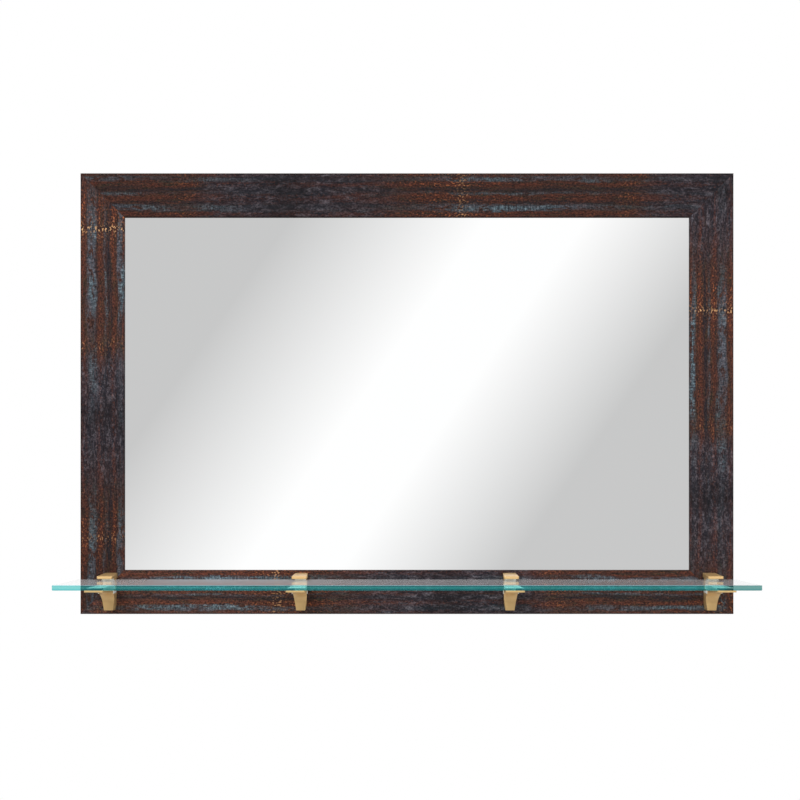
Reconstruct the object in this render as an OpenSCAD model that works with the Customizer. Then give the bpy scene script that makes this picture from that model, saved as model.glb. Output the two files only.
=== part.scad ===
// Mirror in a mitred wooden frame, with a glass shelf held by four clamp brackets.
// Millimetres. The front faces -Y, Z is up, and the wall is the plane Y = 0.
// The origin lies in the wall plane, midway between the two hooks that the mirror hangs on.

/* [Frame] */
// Outer width of the frame
frame_w = 800; // [760:1:1000]
// Outer height of the frame
frame_h = 540; // [420:1:760]
// Width of the flat moulding
moulding_w = 54; // [53:1:70]
// Thickness of the moulding
moulding_t = 20; // [18:0.5:26]
// Radius of the moulding's eased front edges
ease_r = 1.5; // [0.5:0.5:3]
// Width of the rabbet that holds the mirror
rabbet_w = 8; // [6:0.5:9]
// Thickness of the lip in front of the mirror
lip_t = 3; // [3:0.5:6]
// Thickness of the mirror glass
mirror_t = 4; // [3:0.5:5]
// Thickness of the backing board
backing_t = 3; // [2:0.5:3]

/* [Hanging] */
// Height of the frame's top edge above the hooks
hook_drop = 100; // [60:1:160]
// Gap between the frame and the wall
standoff = 6; // [6:0.1:8]
// Diameter of the ring's wire
ring_wire = 3; // [2.4:0.1:3]
// Clear width inside the ring
ring_w = 18; // [16:0.5:22]
// Clear height inside the ring
ring_h = 16; // [14:0.5:20]

/* [Shelf] */
// Width of the glass shelf
shelf_w = 800; // [760:1:1000]
// Depth of the glass shelf, front to back
shelf_d = 120; // [100:1:160]
// Thickness of the shelf glass
shelf_t = 6; // [5:0.5:7]
// Gap between the frame's face and the shelf's rear edge
shelf_gap = 13; // [13:0.5:20]

/* [Brackets] */
// Bracket centres, measured from the middle of the frame
bracket_x = [-362, -129, 125, 369.5]; // [-372:0.5:372]
// Reach of the lower arm in front of the frame
arm_l = 93; // [80:1:112]
// Reach of the upper jaw in front of the frame
jaw_l = 38.5; // [34:0.5:60]
// Half the width of the arm at its tip
tip_hw = 11.2; // [10:0.1:13]
// Height of the arm's upper face above the frame's bottom edge
arm_z = 36; // [35:0.1:36]
// Height of the leg's lower end above the frame's bottom edge
leg_z = 5.8; // [5.5:0.1:6]
// Depth of the leg in front of the frame
leg_d = 16.5; // [14:0.5:20]

/* [Hidden] */
$fn = 64;
BRACKETS = [1 : 4];

// Planes of the frame, front to back and bottom to top
rear_y = -standoff;
front_y = rear_y - moulding_t;
lip_y = front_y + lip_t;
glass_rear_y = lip_y + mirror_t;
board_rear_y = glass_rear_y + backing_t;
bottom_z = hook_drop - frame_h;
mid_z = hook_drop - frame_h / 2;

// Glass and board in the rabbet
pane_gap = 1;
pane_w = frame_w - 2 * (moulding_w - rabbet_w + pane_gap);
pane_h = frame_h - 2 * (moulding_w - rabbet_w + pane_gap);

// Glazing points: flexible tabs pressed into the rabbet's wall
tab_w = 6;
tab_t = 0.5;
tab_in = 6;
tab_out = 9;
tab_spacing_x = 220;
tab_spacing_z = 240;

// V-nails across each mitre, driven in from the rear
v_leg = 8;
v_t = 0.6;
v_depth = 10;
v_proud = 0.1;
v_places = [12, 30];

// Ring hangers
hook_x = frame_w / 2 - moulding_w / 2;
wire_r = ring_wire / 2;
bar_play = 0.1;
strap_t = 1.2;
strap_w = 12;
strap_l = 28;
barrel_r = wire_r + bar_play + strap_t;
bar_y = rear_y + strap_t + bar_play + wire_r;
bar_z = -(ring_h + wire_r);
ring_half = (ring_w + ring_wire) / 2;
ring_corner = 2.5;
ring_leg = ring_h + ring_wire - ring_half;
hanger_screw_z = [bar_z - 11, bar_z - strap_l];
hanger_screw_r = 2;
pan_h = 2;

// Wall bumpers
bumper_r = 6;
bumper_z = bottom_z + 15;

// Shelf and pads, heights above the frame's bottom edge
arm_pad_t = 1.2;
arm_pad_y = [13, arm_l - 5];
arm_pad_inset = 0.6;
skirt_t = 0.8;
skirt_y = [6, 30];
skirt_z = 27;
jaw_pad_t = 1.8;
jaw_pad_y = [14, 24];
jaw_pad_hw = 6.4;
back_pad_t = 0.8;
back_pad_hw = 7.2;
back_pad_drop = 0.2;
glass_z = arm_z + arm_pad_t;
glass_top_z = glass_z + shelf_t;
jaw_z = glass_top_z + jaw_pad_t;
shelf_corner = 3;

// Bracket body, in its own frame: +Y forward from the frame's face, Z up from the frame's bottom edge
post_d = 12;
post_top = jaw_z - 0.2;
wall_hw = 6.4;
post_hw = 7.3;
elbow_hw = 9.4;
leg_hw = 5.1;
keel_hw = 9;
elbow_y = leg_d + 24;
elbow_z = 29;
curve_z = 14;
tip_z = 32.6;
keel_rise = atan((tip_z - elbow_z) / (arm_l - elbow_y));
keel_z = elbow_z - elbow_y * tan(keel_rise);
tip_cut = 1.5;

// Jaw
jaw_rear_y = 0.3;
jaw_rear_hw = 7.6;
jaw_tip_hw = 9.2;
jaw_rear_t = 5.6;
jaw_tip_t = 3.2;
stem = [7.8, 5];
stem_play = 0.1;
stem_z = 26;

// Clamp screw, M3 with a round head, turned from below
screw_y = 8;
screw_r = 1.5;
screw_end_z = 39.3;
head_r = 2.75;
head_h = 2.95;
head_z = leg_z + 0.5;
seat_z = head_z + head_h + 0.05;

// Wall plate hidden in the bracket's rear, with its screws and the grub screw
plate_w = 8;
plate_t = 1.6;
plate_z = [9, 42];
lip_d = 3.8;
hook_t = 2;
play = 0.15;
plate_screw_z = [14, 27];
wood_screw_r = 1.75;
wood_head_r = 3.35;
wood_screw_l = 16;
grub_y = 2.4;
grub_r = 1.5;
grub_z = leg_z + 0.2;
point_r = 0.9;

WOOD = [0.25, 0.2, 0.19];
BRASS = [0.79, 0.64, 0.4];
STEEL = [0.72, 0.73, 0.74];
GLASS = [0.62, 0.84, 0.8, 0.55];
PAD = [0.93, 0.95, 0.95];

// ---- Shapes used more than once ----

// Points of an arc about c, in steps of 15 degrees
function arc(c, r, from, to) =
    [for (a = [from : (to > from ? 15 : -15) : to]) c + [r.x * cos(a), r.y * sin(a)]];

// A flat outline (Y, Z) given a width along X
module side_prism(width, outline)
    rotate([90, 0, 90]) linear_extrude(width, center = true) polygon(outline);

// A flat outline (X, Z) carried forward along Y
module front_prism(length, outline)
    rotate([90, 0, 180]) linear_extrude(length) polygon(outline);

// An outline that is the same on both sides of X = 0
function both_sides(half) =
    concat(half, [for (k = [len(half) - 1 : -1 : 0]) [-half[k].x, half[k].y]]);

// Half the arm's width at a place along it
function arm_hw(y) =
    lookup(y, [[0, wall_hw], [post_d, post_hw], [elbow_y, elbow_hw], [arm_l - tip_cut, tip_hw]]);

// One side of the arm's outline from above, at the given places along it, moved outward by grow
function arm_side(places, grow = 0) = [for (y = places) [arm_hw(y) + grow, y]];

// Puts a stick's own frame (sight edge at Z = 0, outer edge at Z = moulding_w) on one side of the frame
module at_side(angle, half)
    translate([0, 0, mid_z]) rotate([0, angle, 0]) translate([0, 0, half - moulding_w]) children();

// Puts a bracket's own frame on the lower rail's face
module at_bracket(k)
    translate([bracket_x[k - 1], front_y, bottom_z]) rotate([0, 0, 180]) children();

// ---- Frame ----

// One stick of moulding with mitred ends and a rabbet at the rear of its sight edge
module stick(length)
    intersection() {
        side_prism(length, concat(
            [[lip_y, 0]],
            arc([front_y + ease_r, ease_r], [ease_r, ease_r], 270, 180),
            arc([front_y + ease_r, moulding_w - ease_r], [ease_r, ease_r], 180, 90),
            [[rear_y, moulding_w], [rear_y, rabbet_w], [lip_y, rabbet_w]]));
        rotate([90, 0, 0]) linear_extrude(3 * moulding_t)
            polygon(both_sides([[length / 2 - moulding_w, 0], [length / 2, moulding_w]]));
    }

module corner_v_nails(grow = 0)
    color(STEEL)
        for (sx = [0, 1], sz = [0, 1], d = v_places)
            translate([0, rear_y + v_proud + grow, mid_z]) mirror([sx, 0, 0]) mirror([0, 0, sz])
                translate([d - frame_w / 2, 0, d - frame_h / 2]) rotate([90, 0, 0])
                    linear_extrude(v_depth + v_proud + 2 * grow) {
                        translate([-grow, -grow]) square([v_leg + 2 * grow, v_t + 2 * grow]);
                        translate([-grow, -grow]) square([v_t + 2 * grow, v_leg + 2 * grow]);
                    }

module tab(grow)
    translate([-tab_w / 2 - grow, board_rear_y - grow, rabbet_w - tab_out])
        cube([tab_w + 2 * grow, tab_t + 2 * grow, tab_out + tab_in + grow]);

module glazing_points(grow = 0)
    color(STEEL) {
        for (angle = [0, 180], x = [-1 : 1])
            at_side(angle, frame_h / 2) translate([x * tab_spacing_x, 0, 0]) tab(grow);
        for (angle = [-90, 90], x = [-0.5, 0.5])
            at_side(angle, frame_w / 2) translate([x * tab_spacing_z, 0, 0]) tab(grow);
    }

// A stick on its side of the frame, slotted for the V-nails and glazing points
module fitted_stick(length, angle, half)
    color(WOOD) difference() {
        at_side(angle, half) stick(length);
        corner_v_nails(0.1);
        glazing_points(0.05);
        plate_screw_places() cylinder(h = wood_screw_l + 0.2, r = wood_screw_r + 0.05);
        hanger_screw_places() cylinder(h = 14.2, r = hanger_screw_r + 0.05);
    }

module frame_top_rail() fitted_stick(frame_w, 0, frame_h / 2);

module frame_bottom_rail() fitted_stick(frame_w, 180, frame_h / 2);

module frame_left_stile() fitted_stick(frame_h, -90, frame_w / 2);

module frame_right_stile() fitted_stick(frame_h, 90, frame_w / 2);

module pane(front, thickness)
    translate([-pane_w / 2, front, mid_z - pane_h / 2]) cube([pane_w, thickness, pane_h]);

module mirror_glass() color([0.82, 0.85, 0.86]) pane(lip_y, mirror_t);

module backing_board() color([0.62, 0.5, 0.36]) pane(glass_rear_y, backing_t);

// ---- Hangers and bumpers ----

module hanger_strap(side)
    color(STEEL) translate([side * hook_x, 0, 0]) difference() {
        union() {
            translate([-strap_w / 2, rear_y, bar_z - strap_l]) cube([strap_w, strap_t, strap_l]);
            translate([0, rear_y, bar_z - strap_l]) rotate([-90, 0, 0]) cylinder(h = strap_t, r = strap_w / 2);
            translate([-strap_w / 2, bar_y, bar_z]) rotate([0, 90, 0]) cylinder(h = strap_w, r = barrel_r);
        }
        translate([-strap_w, bar_y, bar_z]) rotate([0, 90, 0])
            cylinder(h = 2 * strap_w, r = wire_r + bar_play);
        for (z = hanger_screw_z)
            translate([0, rear_y - 1, z]) rotate([-90, 0, 0]) cylinder(h = 5, r = hanger_screw_r + 0.1);
    }

module hanger_strap_left() hanger_strap(-1);

module hanger_strap_right() hanger_strap(1);

// A quarter or half turn of wire in the ring's plane, about the given centre
module bend(x, z, r, from, turn)
    translate([x, 0, z]) rotate([90, 0, 0]) rotate([0, 0, from])
        rotate_extrude(angle = turn) translate([r, 0]) circle(r = wire_r);

module hanger_ring(side)
    color(STEEL) translate([side * hook_x, bar_y, bar_z]) {
        bar = ring_half - ring_corner;
        translate([-bar, 0, 0]) rotate([0, 90, 0]) cylinder(h = 2 * bar, r = wire_r);
        bend(0, ring_leg, ring_half, 0, 180);
        bend(bar, ring_corner, ring_corner, 270, 90);
        bend(-bar, ring_corner, ring_corner, 180, 90);
        for (x = [-ring_half, ring_half])
            translate([x, 0, ring_corner]) cylinder(h = ring_leg - ring_corner, r = wire_r);
    }

module hanger_ring_left() hanger_ring(-1);

module hanger_ring_right() hanger_ring(1);

module cross_recess(reach, deep)
    for (a = [0, 90])
        rotate([0, 0, a]) translate([0, 0, deep / 2 - 0.01]) cube([2 * reach, 0.7, deep], center = true);

module hanger_screw_places()
    for (x = [-hook_x, hook_x], z = hanger_screw_z)
        translate([x, rear_y + strap_t, z]) rotate([90, 0, 0]) children();

module hanger_screws()
    color(STEEL) hanger_screw_places()
        translate([0, 0, -pan_h]) difference() {
            rotate_extrude() polygon([[0, 0], [2.4, 0], [3.6, 0.9], [3.6, pan_h], [hanger_screw_r, pan_h],
                                      [hanger_screw_r, 12], [0, 15]]);
            cross_recess(1.8, 1.2);
        }

module wall_bumpers()
    color([0.12, 0.12, 0.12])
        for (x = [-hook_x, hook_x])
            translate([x, 0, bumper_z]) rotate([90, 0, 0]) cylinder(h = standoff, r1 = bumper_r, r2 = bumper_r + 1);

// ---- Shelf ----

module glass_shelf()
    color(GLASS) translate([0, front_y - shelf_gap - shelf_d / 2, bottom_z + glass_z])
        linear_extrude(shelf_t) {
            square([shelf_w - 2 * shelf_corner, shelf_d], center = true);
            square([shelf_w, shelf_d - 2 * shelf_corner], center = true);
            for (sx = [-1, 1], sy = [-1, 1])
                translate([sx * (shelf_w / 2 - shelf_corner), sy * (shelf_d / 2 - shelf_corner)])
                    circle(r = shelf_corner);
        }

// ---- Brackets ----

// The arm with its chamfered keel, and the post behind the shelf
module arm_and_post()
    intersection() {
        side_prism(40, [[0, 20], [arm_l, 20], [arm_l, arm_z], [post_d, arm_z], [post_d, post_top], [0, post_top]]);
        translate([0, 0, keel_z]) rotate([keel_rise, 0, 0]) translate([0, -10, 0])
            front_prism(arm_l + 30, both_sides([[keel_hw, 0], [keel_hw + 6, 6], [keel_hw + 6, 30]]));
    }

// The leg under the arm, with its hollow curve in front
module leg()
    intersection() {
        side_prism(40, concat(
            [[0, leg_z], [leg_d, leg_z]],
            arc([elbow_y, curve_z], [leg_d - elbow_y, elbow_z - curve_z], 0, 90),
            [[elbow_y, elbow_z + 1], [0, elbow_z + 1]]));
        front_prism(60, both_sides([[leg_hw, leg_z], [keel_hw, elbow_z], [keel_hw, elbow_z + 2]]));
    }

// Space for the wall plate, with the tongue that hooks behind the plate's upper end left standing
module plate_recess()
    difference() {
        translate([-plate_w / 2 - play, -1, plate_z[0] - play])
            cube([plate_w + 2 * play, lip_d + play + 1, plate_z[1] - plate_z[0] + 2 * play]);
        translate([-plate_w, 0, plate_z[1] - hook_t + play]) cube([2 * plate_w, hook_t - play, 2 * hook_t]);
    }

module bracket_body()
    color(BRASS) difference() {
        intersection() {
            union() {
                arm_and_post();
                leg();
            }
            linear_extrude(60)
                polygon(both_sides(concat(arm_side([0, post_d, elbow_y, arm_l - tip_cut]),
                                          [[tip_hw - tip_cut, arm_l]])));
        }
        plate_recess();
        translate([0, screw_y, 0]) {
            cylinder(h = seat_z, r = head_r + 0.15);
            cylinder(h = post_top, r = screw_r + 0.2);
            translate([-stem.x / 2 - stem_play, -stem.y / 2 - stem_play, stem_z - 0.2])
                cube([stem.x + 2 * stem_play, stem.y + 2 * stem_play, 30]);
        }
        translate([0, grub_y, 0]) cylinder(h = plate_z[0], r = grub_r + 0.05);
    }

module clamp_jaw()
    color(BRASS) difference() {
        union() {
            intersection() {
                side_prism(40, [[jaw_rear_y, jaw_z], [jaw_l, jaw_z], [jaw_l, jaw_z + jaw_tip_t],
                                [jaw_rear_y, jaw_z + jaw_rear_t]]);
                linear_extrude(80) polygon(both_sides([
                    [jaw_rear_hw, 0], [jaw_tip_hw, jaw_l - tip_cut], [jaw_tip_hw - tip_cut, jaw_l]]));
            }
            translate([-stem.x / 2, screw_y - stem.y / 2, stem_z]) cube([stem.x, stem.y, jaw_z + 1 - stem_z]);
        }
        translate([0, screw_y, 0]) cylinder(h = screw_end_z + 1.7, r = screw_r + 0.05);
    }

module jaw_pad()
    color(PAD) translate([-jaw_pad_hw, jaw_pad_y[0], glass_top_z])
        cube([2 * jaw_pad_hw, jaw_pad_y[1] - jaw_pad_y[0], jaw_pad_t]);

// The pad on the arm, with a skirt down each side of the arm's root
module arm_pad()
    color(PAD) difference() {
        union() {
            translate([0, 0, arm_z]) linear_extrude(arm_pad_t) {
                polygon(both_sides(arm_side([arm_pad_y[0], elbow_y, arm_pad_y[1]], -arm_pad_inset)));
                polygon(both_sides(arm_side([arm_pad_y[0], skirt_y[1]], skirt_t)));
            }
            translate([0, 0, skirt_z]) linear_extrude(arm_z - skirt_z)
                polygon(both_sides(arm_side([skirt_y[0], post_d, skirt_y[1]], skirt_t)));
        }
        linear_extrude(arm_z) polygon(both_sides(arm_side([0, post_d, elbow_y])));
    }

// The pad on the post, between it and the shelf's rear edge
module back_pad()
    color(PAD) translate([-back_pad_hw, post_d, arm_z])
        cube([2 * back_pad_hw, back_pad_t, glass_top_z - back_pad_drop - arm_z]);

module clamp_screw()
    color(STEEL) translate([0, screw_y, head_z]) difference() {
        union() {
            cylinder(h = head_h, r = head_r);
            cylinder(h = screw_end_z - head_z, r = screw_r);
        }
        translate([0, 0, -0.01]) cylinder(h = 1.6, r = 1.44, $fn = 6);
    }

module wall_plate()
    color(STEEL) difference() {
        side_prism(plate_w, [
            [0, plate_z[0]], [lip_d, plate_z[0]], [lip_d, plate_z[0] + plate_t], [plate_t, plate_z[0] + plate_t],
            [plate_t, plate_z[1] - 2.3 * hook_t], [hook_t + plate_t, plate_z[1] - 1.3 * hook_t],
            [hook_t + plate_t, plate_z[1]], [hook_t, plate_z[1]], [hook_t, plate_z[1] - hook_t],
            [0, plate_z[1] - 2 * hook_t]]);
        for (z = plate_screw_z)
            translate([0, plate_t, z]) rotate([90, 0, 0])
                cylinder(h = plate_t, r1 = wood_head_r + 0.05, r2 = wood_screw_r + 0.05);
        translate([0, grub_y, plate_z[0] - 1]) cylinder(h = plate_t + 2, r = point_r + 0.1);
    }

module plate_screw_places()
    for (k = BRACKETS, z = plate_screw_z)
        at_bracket(k) translate([0, plate_t, z]) rotate([90, 0, 0]) children();

module wall_plate_screws()
    color(STEEL) plate_screw_places() difference() {
        rotate_extrude() polygon([[0, 0], [wood_head_r, 0], [wood_screw_r, plate_t],
                                  [wood_screw_r, wood_screw_l - 3], [0, wood_screw_l]]);
        cross_recess(1.8, 0.9);
    }

module grub_screws()
    color(STEEL)
        for (k = BRACKETS) at_bracket(k) translate([0, grub_y, grub_z]) difference() {
            union() {
                cylinder(h = 2.8, r = grub_r);
                cylinder(h = 4.3, r = point_r);
            }
            translate([0, 0, -0.01]) cylinder(h = 1.2, r = 0.87, $fn = 6);
        }

// ---- Output ----

frame_top_rail();
frame_bottom_rail();
frame_left_stile();
frame_right_stile();
corner_v_nails();
mirror_glass();
backing_board();
glazing_points();
hanger_strap_left();
hanger_strap_right();
hanger_ring_left();
hanger_ring_right();
hanger_screws();
wall_bumpers();
glass_shelf();
wall_plate_screws();
grub_screws();
for (k = BRACKETS) at_bracket(k) bracket_body();
for (k = BRACKETS) at_bracket(k) clamp_jaw();
for (k = BRACKETS) at_bracket(k) jaw_pad();
for (k = BRACKETS) at_bracket(k) arm_pad();
for (k = BRACKETS) at_bracket(k) back_pad();
for (k = BRACKETS) at_bracket(k) clamp_screw();
for (k = BRACKETS) at_bracket(k) wall_plate();
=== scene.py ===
"""Looks of a wall mirror with a glass shelf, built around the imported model.

Metres. The front faces -Y, Z is up, and the wall is the plane Y = 0.
"""
import math

import bmesh
import bpy
from mathutils import Matrix, Vector, noise


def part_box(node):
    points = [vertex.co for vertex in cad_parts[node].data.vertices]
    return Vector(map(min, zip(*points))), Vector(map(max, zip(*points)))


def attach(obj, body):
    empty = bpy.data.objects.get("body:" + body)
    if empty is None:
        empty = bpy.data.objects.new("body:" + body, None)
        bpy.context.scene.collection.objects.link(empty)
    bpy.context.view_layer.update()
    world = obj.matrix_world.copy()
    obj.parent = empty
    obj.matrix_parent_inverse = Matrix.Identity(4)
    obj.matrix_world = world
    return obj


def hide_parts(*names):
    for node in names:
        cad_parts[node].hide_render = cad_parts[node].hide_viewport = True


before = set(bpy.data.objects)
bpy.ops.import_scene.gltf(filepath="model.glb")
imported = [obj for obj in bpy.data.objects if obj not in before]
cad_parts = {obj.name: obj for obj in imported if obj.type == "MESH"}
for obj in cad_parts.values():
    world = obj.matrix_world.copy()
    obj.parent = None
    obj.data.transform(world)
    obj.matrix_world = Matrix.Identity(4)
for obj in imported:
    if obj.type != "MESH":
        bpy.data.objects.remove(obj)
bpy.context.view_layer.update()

MM = 0.001
# Points closer than this are one point
MERGE = 0.001 * MM
BRACKETS = (1, 2, 3, 4)

# ---- Frame and shelf sizes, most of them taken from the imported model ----

top_low, top_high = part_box("frame_top_rail")
bottom_low, bottom_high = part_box("frame_bottom_rail")
mirror_low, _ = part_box("mirror_glass")
shelf_low, shelf_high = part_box("glass_shelf")

FRONT_Y = bottom_low.y
REAR_Y = bottom_high.y
LIP_Y = mirror_low.y
TOP_Z = top_high.z
BOTTOM_Z = bottom_low.z
MID_Z = (TOP_Z + BOTTOM_Z) / 2
FRAME_W = top_high.x - top_low.x
FRAME_H = TOP_Z - BOTTOM_Z
HALF_W = FRAME_W / 2
HALF_H = FRAME_H / 2
MOULDING_W = top_high.z - top_low.z
EASE_R = 1.5 * MM
RABBET_W = 8 * MM
ARRIS = 0.5 * MM
SHELF_CORNER_R = 3 * MM

# The frame's worn face: how far apart its points lie, and how deep it is worn. That is a mean level and
# two waves of noise, as shares of RELIEF. A wave has its rates along and across a stick first.
ALONG_STEP = 1.6 * MM
ACROSS_STEP = 1.2 * MM
REAR_STEP = 8 * MM
RELIEF = 0.35 * MM
LEVEL = 0.55
LONG_WAVE = (26, 240, 0.6)
FINE_WAVE = (150, 560, 0.35)
# How far apart in the noise one stick's wear and print are taken from the next stick's
WEAR_APART, PRINT_APART = 5.1, 7.3

# ---- Bracket sizes, with +Y forward from the frame's face and Z up from the frame's bottom edge ----


def bracket_box(node):
    """A node's box in these coordinates, with X from its own middle."""
    low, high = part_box(node)
    half = (high.x - low.x) / 2
    near = Vector((-half, FRONT_Y - high.y, low.z - BOTTOM_Z))
    far = Vector((half, FRONT_Y - low.y, high.z - BOTTOM_Z))
    return near, far


body_low, body_high = bracket_box("bracket_body_1")
jaw_low, jaw_high = bracket_box("clamp_jaw_1")
jaw_pad_low, jaw_pad_high = bracket_box("jaw_pad_1")
arm_pad_low, arm_pad_high = bracket_box("arm_pad_1")
back_pad_low, back_pad_high = bracket_box("back_pad_1")
plate_low, plate_high = bracket_box("wall_plate_1")
screw_low, screw_high = bracket_box("clamp_screw_1")

# The bracket body, seen from the side
LEG_D = 16.5 * MM
ELBOW_Y, ELBOW_Z = LEG_D + 24 * MM, 29 * MM
CURVE_Z = 14 * MM
TIP_Z = 32.6 * MM
POST_D = back_pad_low.y
ARM_Z = back_pad_low.z
# Half its width from above, at places along the arm
TIP_CUT = 1.5 * MM
ARM_WIDTHS = (
    (0.0, 6.4 * MM), (POST_D, 7.3 * MM), (ELBOW_Y, 9.4 * MM), (body_high.y - TIP_CUT, body_high.x))
# Half its width from the front: the leg's lower end, the keel, and the flare from the keel to the arm
LEG_HW, KEEL_HW = 5.1 * MM, 9 * MM
KEEL_T, FLARE = 0.4 * MM, 7 * MM
# The jaw, and its stem that runs in the post
JAW_REAR_HW = 7.6 * MM
JAW_TIP_T = 3.2 * MM
STEM_HW, STEM_HALF_D = 3.9 * MM, 2.5 * MM
PLAY = 0.1 * MM
# The clamp screw's hole: its counterbore, its shank's hole in the leg, and its hole in the stem
SCREW_Y = (screw_low.y + screw_high.y) / 2
COUNTERBORE_R, COUNTERBORE_TOP = 2.9 * MM, 9.5 * MM
SHANK_R, SHANK_FROM, SHANK_TO = 1.7 * MM, 5 * MM, 27 * MM
STEM_BORE_R, STEM_BORE_FROM, STEM_BORE_TO = 1.55 * MM, 20 * MM, 41 * MM
# The grub screw's hole, and the recess for the wall plate, whose lip hangs behind the plate's hook
GRUB_Y, GRUB_R, GRUB_TOP = 2.4 * MM, 1.55 * MM, 9 * MM
PLATE_PLAY = 0.15 * MM
HANG_D, HANG_H = 1.85 * MM, 2 * MM
# The pads
PAD_START, SKIRT_END, SKIRT_T = 13 * MM, 30 * MM, 0.8 * MM
BLOCK_PAD_R, ARM_PAD_R = 0.25 * MM, 0.2 * MM
# The edges. The ends of the arm and the jaw lean back at the top, so that they catch the light from above.
CHAMFER = 1.7 * MM
CHAMFER_END_Z = ELBOW_Z - 2 * MM
TIP_LEAN = 1.2 * MM
EDGE_R = 0.35 * MM
SHARP_DEG = 25
# A normal with this share along an axis faces that way
FACES = 0.85
# Past a bracket's ends on each axis, for the tools that cut it to shape
PAST_X, PAST_Y, PAST_Z = 20 * MM, 120 * MM, 80 * MM


def bracket_x(k):
    """Where a bracket stands, read off its arm pad."""
    low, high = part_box(f"arm_pad_{k}")
    return (low.x + high.x) / 2


def arm_half_width(y):
    """Half the arm's width at a place along it."""
    for (y0, w0), (y1, w1) in zip(ARM_WIDTHS, ARM_WIDTHS[1:]):
        if y <= y1:
            return w0 + (w1 - w0) * (y - y0) / (y1 - y0)
    return ARM_WIDTHS[-1][1]


# ---- Small tools ----


def srgb(red, green, blue):
    """A colour written as 0 to 255 in sRGB, as linear values with alpha."""
    def linear(value):
        value /= 255
        return value / 12.92 if value <= 0.04045 else ((value + 0.055) / 1.055) ** 2.4
    return (linear(red), linear(green), linear(blue), 1.0)


def grey(level):
    """A grey given as its linear level."""
    return (level, level, level, 1.0)


WHITE = grey(1.0)


def new_object(name, data):
    obj = bpy.data.objects.new(name, data)
    bpy.context.scene.collection.objects.link(obj)
    return obj


def mesh_object(name, points, faces):
    mesh = bpy.data.meshes.new(name)
    mesh.from_pydata(points, [], faces)
    mesh.update()
    return new_object(name, mesh)


def smooth(mesh, angle=30):
    """Smooth shading, with edges sharper than angle (degrees) left sharp."""
    mesh.polygons.foreach_set("use_smooth", [True] * len(mesh.polygons))
    mesh.set_sharp_from_angle(angle=math.radians(angle))


def dress(obj, body, slot, *looks, replaces=()):
    """Gives a finished piece its materials and body, and hides the CAD nodes that it stands for. slot is not
    used.
    """
    for look in looks:
        obj.data.materials.append(look)
    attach(obj, body)
    if replaces:
        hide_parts(*replaces)


def mend(mesh):
    """Merges doubled points and turns all faces outward."""
    work = bmesh.new()
    work.from_mesh(mesh)
    bmesh.ops.remove_doubles(work, verts=work.verts, dist=MERGE)
    bmesh.ops.recalc_face_normals(work, faces=work.faces)
    work.to_mesh(mesh)
    work.free()


def on_circle(centre, radius, degrees):
    """The point of a circle at an angle."""
    angle = math.radians(degrees)
    return centre[0] + radius * math.cos(angle), centre[1] + radius * math.sin(angle)


def arc(centre, radius, from_deg, to_deg, count):
    """Points from one angle of a circle to the next, the last left out."""
    return [on_circle(centre, radius, from_deg + (to_deg - from_deg) * k / count) for k in range(count)]


def walls(count, start):
    """The faces between one ring of points and the next, where start is the first ring's first point."""
    after = [(k + 1) % count for k in range(count)]
    return [(start + k, start + n, start + n + count, start + k + count) for k, n in enumerate(after)]


def closed_tube(rings, count):
    """The faces of a closed body made of rings of count points each: its two ends, then its walls."""
    last = (rings - 1) * count
    ends = [list(range(count)), list(range(last, last + count))]
    return ends + [face for ring in range(rings - 1) for face in walls(count, ring * count)]


def prism(outline, axis, low, high):
    """A closed prism: an outline in the plane square to axis, carried from low to high along it."""
    places = {
        "x": lambda a, b, c: (c, a, b),
        "y": lambda a, b, c: (a, c, b),
        "z": lambda a, b, c: (a, b, c),
    }
    points = [places[axis](a, b, level) for level in (low, high) for a, b in outline]
    obj = mesh_object("prism", points, closed_tube(2, len(outline)))
    mend(obj.data)
    return obj


def cylinder(centre, radius, low, high, sides=40):
    """An upright round tool from low to high."""
    return prism(arc(centre, radius, 0, 360, sides), "z", low, high)


def combine(target, operation, *tools):
    """Joins, cuts or intersects target with each tool, and removes the tools."""
    for tool in tools:
        modifier = target.modifiers.new("combine", "BOOLEAN")
        modifier.object = tool
        modifier.operation = operation
        modifier.solver = "EXACT"
        graph = bpy.context.evaluated_depsgraph_get()
        mesh = bpy.data.meshes.new_from_object(target.evaluated_get(graph))
        target.modifiers.clear()
        target.data = mesh
        bpy.data.objects.remove(tool)


def bevel(obj, width, segments, flat, chosen):
    """Bevels the edges that fit chosen, once faces that meet at less than flat (degrees) are one face."""
    work = bmesh.new()
    work.from_mesh(obj.data)
    bmesh.ops.remove_doubles(work, verts=work.verts, dist=MERGE)
    bmesh.ops.dissolve_limit(work, angle_limit=math.radians(flat), verts=work.verts, edges=work.edges)
    bmesh.ops.recalc_face_normals(work, faces=work.faces)
    picked = [edge for edge in work.edges if len(edge.link_faces) == 2 and chosen(edge)]
    bmesh.ops.bevel(work, geom=picked, offset=width, segments=segments, profile=0.5, affect="EDGES",
                    clamp_overlap=True)
    work.to_mesh(obj.data)
    work.free()


def round_edges(obj, radius):
    """Rounds every sharp edge."""
    bevel(obj, radius, 3, 1, lambda edge: edge.calc_face_angle() > math.radians(SHARP_DEG))


def chamfer_edges(obj, width, chosen):
    """Chamfers the edges between two faces whose normals fit chosen, in either order."""
    def fits(edge):
        a, b = (face.normal for face in edge.link_faces)
        middle = (edge.verts[0].co + edge.verts[1].co) / 2
        return chosen(a, b, middle) or chosen(b, a, middle)
    bevel(obj, width, 1, 0.5, fits)


# ---- Shader tools ----


def wire(tree, value, socket):
    """Links a socket to an input, or sets the input to a plain value."""
    if isinstance(value, bpy.types.NodeSocket):
        tree.links.new(value, socket)
    else:
        socket.default_value = value


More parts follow.
